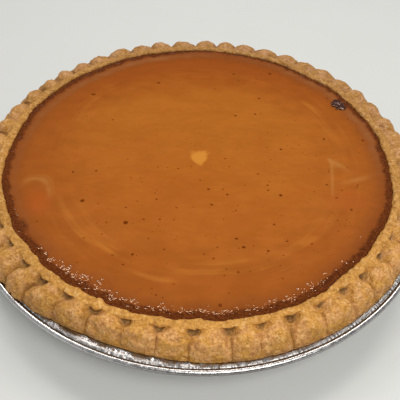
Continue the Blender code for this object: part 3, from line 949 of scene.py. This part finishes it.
def custard_material(group):
    """Set pumpkin custard: ochre and russet mottle, paler streaks round the pie, a pale spot, a dark ring, a
    painted sheen inside it and painted shade on the far side.
    """
    material, tree, shader = bare_material("pumpkin_custard")
    place = object_place(tree)
    swirl, reach = swirl_place(tree, place, 2.2, 4.6)
    across = add_node(tree, "ShaderNodeSeparateXYZ", {"Vector": place}).outputs["Y"]
    stretched = {"Vector": place, "Scale": (0.5, 1.0, 1.0)}
    stretched = add_node(tree, "ShaderNodeMapping", stretched).outputs["Vector"]
    tone, height = mottle(tree, group, stretched, 16.0, 4.0, 0.3)

    ochre = blend(tree, tone, (0.370, 0.109, 0.0115), (0.414, 0.128, 0.0145))
    russet = blend(tree, tone, (0.360, 0.096, 0.0105), (0.404, 0.114, 0.0130))
    drift = plus(tree, times(tree, across, 9.0), noise(tree, place, 55.0, 3.0))
    ragged = plus(tree, reach, spread(tree, noise(tree, place, 18.0, 2.0), 0.2, 0.8, -9.0, 9.0))
    # painted shade: darker towards the far side
    far = times(tree, spread(tree, across, 0.03, 0.115), spread(tree, ragged, 45.0, 90.0))
    skin = (
        (spread(tree, drift, -0.05, 0.85), ochre),
        (spread(tree, ragged, 66.0, 112.0, 0.0, 0.85), (0.325, 0.086, 0.0092)),
        (times(tree, far, 0.6), (0.285, 0.062, 0.0060)),
        (streak_mask(tree, place, across, swirl, reach), (0.445, 0.145, 0.018)),
    )
    colour = layered(tree, russet, skin)
    mottled = noise(tree, stretched, 9.0, 3.0)
    uneven = blend(tree, spread(tree, mottled, 0.3, 0.7), (0.93, 0.93, 0.90), (1.07, 1.07, 1.12))
    colour = blend(tree, spread(tree, reach, 55.0, 100.0), colour, tinted(tree, colour, uneven))

    wander = spread(tree, noise(tree, place, 5.0, 2.0), 0.25, 0.75, -0.9, 0.9)
    gap = plus(tree, field(tree, "rim_gap"), wander)
    speckle = spread(tree, noise(tree, place, 1.1, 2.0), 0.3, 0.7)
    dark = blend(tree, speckle, (0.068, 0.014, 0.0022), (0.162, 0.040, 0.0065))
    within = spread(tree, plus(tree, field(tree, "ring"), wander), 1.3, -1.3)
    caramel = arithmetic(tree, "MAXIMUM", within, field(tree, "burnt"))
    marks = (
        (field(tree, "dusk"), (0.285, 0.067, 0.0085)),
        (times(tree, field(tree, "red"), 0.7), (0.385, 0.083, 0.0105)),
        (times(tree, field(tree, "pale"), 0.6), (0.47, 0.195, 0.046)),
        (spread(tree, gap, 17.0, 3.0, 0.0, 0.82), (0.205, 0.051, 0.0090)),
        # painted sheen inside the dark ring
        (field(tree, "painted_sheen"), (0.305, 0.118, 0.0370)),
        (caramel, dark),
        (spot_mask(tree, place), (0.575, 0.222, 0.030)),
    )
    colour = layered(tree, colour, marks)
    look = {"Base Color": colour, "Roughness": spread(tree, tone, 0.0, 1.0, 0.5, 0.4)}
    coat = {"Coat Weight": spread(tree, caramel, 0.1, 0.9, 0.0, 0.04), "Coat Roughness": 0.12}
    feed(tree, shader, {**look, **coat, "Specular IOR Level": 0.03, "Normal": bump(tree, height, 0.12, 0.2)})
    return material


def caramel_material(group, name, light, dark, roughness, gloss):
    """Bubbles and specks: the stored tone runs from the dark colour to the light one."""
    material, tree, shader = bare_material(name)
    tone, height = mottle(tree, group, object_place(tree), 2.0, 0.6, 0.5)
    base = blend(tree, field(tree, "tone"), dark, light)
    colour = blend(tree, times(tree, tone, 0.4), base, tuple(0.6 * v for v in dark))
    look = {"Base Color": colour, "Roughness": spread(tree, height, 0.3, 0.7, roughness, roughness + 0.12)}
    feed(tree, shader, {**look, "Specular IOR Level": gloss, "Specular Tint": (1.0, 0.72, 0.48, 1.0)})
    return material


def foil_material(group):
    """Pressed foil with a fine crinkle and an uneven, slightly dull sheen, with painted highlights and
    painted shade.
    """
    material, tree, shader = bare_material("pressed_foil")
    place = object_place(tree)
    tone, height = mottle(tree, group, place, 3.0, 0.9, 0.5)
    plain = blend(tree, tone, (0.24, 0.225, 0.215), (0.55, 0.52, 0.50))
    pale = blend(tree, tone, (0.66, 0.64, 0.625), (0.95, 0.925, 0.91))
    # painted highlight, then painted shade in the groove and under the bead
    layers = ((field(tree, "painted_highlight"), pale), (field(tree, "groove"), (0.15, 0.146, 0.142)))
    colour = layered(tree, plain, layers)
    rough = plus(tree, spread(tree, tone, 0.0, 1.0, 0.15, 0.27), field(tree, "dull"))
    look = {"Base Color": colour, "Roughness": rough, "Metallic": 1.0}
    feed(tree, shader, {**look, "Normal": bump(tree, height, 0.12, 0.3)})
    return material


# Stage


# The stage is in metres
FLOOR_HALF = 3.0


def make_floor():
    """A plain pale floor under the pie."""
    material, tree, shader = bare_material("pale_floor")
    tone = noise(tree, object_place(tree), 60.0, 2.0)
    colour = blend(tree, tone, (0.655, 0.66, 0.635), (0.677, 0.682, 0.657))
    feed(tree, shader, {"Base Color": colour, "Roughness": 0.9})
    corners = [(x * FLOOR_HALF, y * FLOOR_HALF, 0.0) for x, y in ((-1, -1), (1, -1), (1, 1), (-1, 1))]
    mesh = bpy.data.meshes.new("floor")
    mesh.from_pydata(corners, [], [(0, 1, 2, 3)])
    mesh.materials.append(material)
    floor = bpy.data.objects.new("floor", mesh)
    bpy.context.scene.collection.objects.link(floor)


# Softboxes: name, place, size, power and colour
SOFTBOXES = (
    ("left", (-0.45, 0.62, 1.1), 0.3, 3.2, (1.0, 0.99, 0.97)),
    ("middle", (0.0, 0.48, 1.1), 0.25, 2.2, (1.0, 0.99, 0.97)),
    ("right", (0.45, 0.62, 1.1), 0.3, 3.4, (1.0, 0.98, 0.95)),
    ("front", (0.2, -0.45, 0.75), 0.45, 4.1, (1.0, 0.99, 0.97)),
)


def make_lights():
    """Soft studio light: a dim pale surround, and softboxes behind the pie and before it, aimed at it."""
    world = bpy.data.worlds.new("studio")
    bpy.context.scene.world = world
    world.use_nodes = True
    surround = world.node_tree.nodes["Background"]
    surround.inputs["Color"].default_value = (0.97, 0.98, 1.0, 1.0)
    surround.inputs["Strength"].default_value = 0.30
    pie = Vector((0.0, 0.0, 0.03))
    for name, place, size, power, colour in SOFTBOXES:
        light = bpy.data.lights.new(name, "AREA")
        light.size = size
        light.energy = power
        light.color = colour
        box = bpy.data.objects.new(name, light)
        box.location = place
        box.rotation_euler = (pie - Vector(place)).to_track_quat("-Z", "Y").to_euler()
        bpy.context.scene.collection.objects.link(box)


def make_camera():
    """A hand-held view from the front, looking down on the pie, with a slight roll."""
    rise, roll = math.radians(42.958), math.radians(2.167)
    reach, aim_x, aim_y = 2.1638, 0.0055, -0.2453  # in tin radii
    unit = TIN_R * MM
    bead_z = FLANGE_Z * MM
    place = Vector((aim_x, -reach * math.cos(rise), reach * math.sin(rise))) * unit + Vector((0, 0, bead_z))
    aim = Vector((aim_x * unit, aim_y * unit, bead_z))
    forward = (aim - place).normalized()
    level = forward.cross(Vector((0, 0, 1))).normalized()
    up = level.cross(forward)
    right = math.cos(roll) * level + math.sin(roll) * up
    top = -math.sin(roll) * level + math.cos(roll) * up
    data = bpy.data.cameras.new("camera")
    data.sensor_width = 36.0
    data.lens = 42.1
    data.clip_start = 0.01
    camera = bpy.data.objects.new("camera", data)
    turned = Matrix((right, top, -forward)).transposed().to_4x4()
    camera.matrix_world = Matrix.Translation(place) @ turned
    bpy.context.scene.collection.objects.link(camera)
    bpy.context.scene.camera = camera


def main():
    """The stage, then the pie piece by piece."""
    bpy.context.scene.view_settings.view_transform = "Standard"
    make_camera()
    make_lights()
    make_floor()
    group = mottle_group()
    rim = make_crust(pastry_material(group))
    mouth = rim[-(2 * ROW_STEPS) - 1]
    make_filling(custard_material(group), mouth)
    make_tin(foil_material(group))
    wet = caramel_material(group, "bubble_caramel", (0.24, 0.060, 0.009), (0.12, 0.030, 0.007), 0.04, 1.0)
    make_bubbles(wet, mouth)
    spice = caramel_material(group, "spice", (0.29, 0.073, 0.008), (0.135, 0.024, 0.0018), 0.5, 0.02)
    make_specks(spice)
    burnt = caramel_material(group, "burnt_caramel", (0.08, 0.02, 0.015), (0.045, 0.012, 0.010), 0.05, 0.45)
    make_blister(burnt)


main()
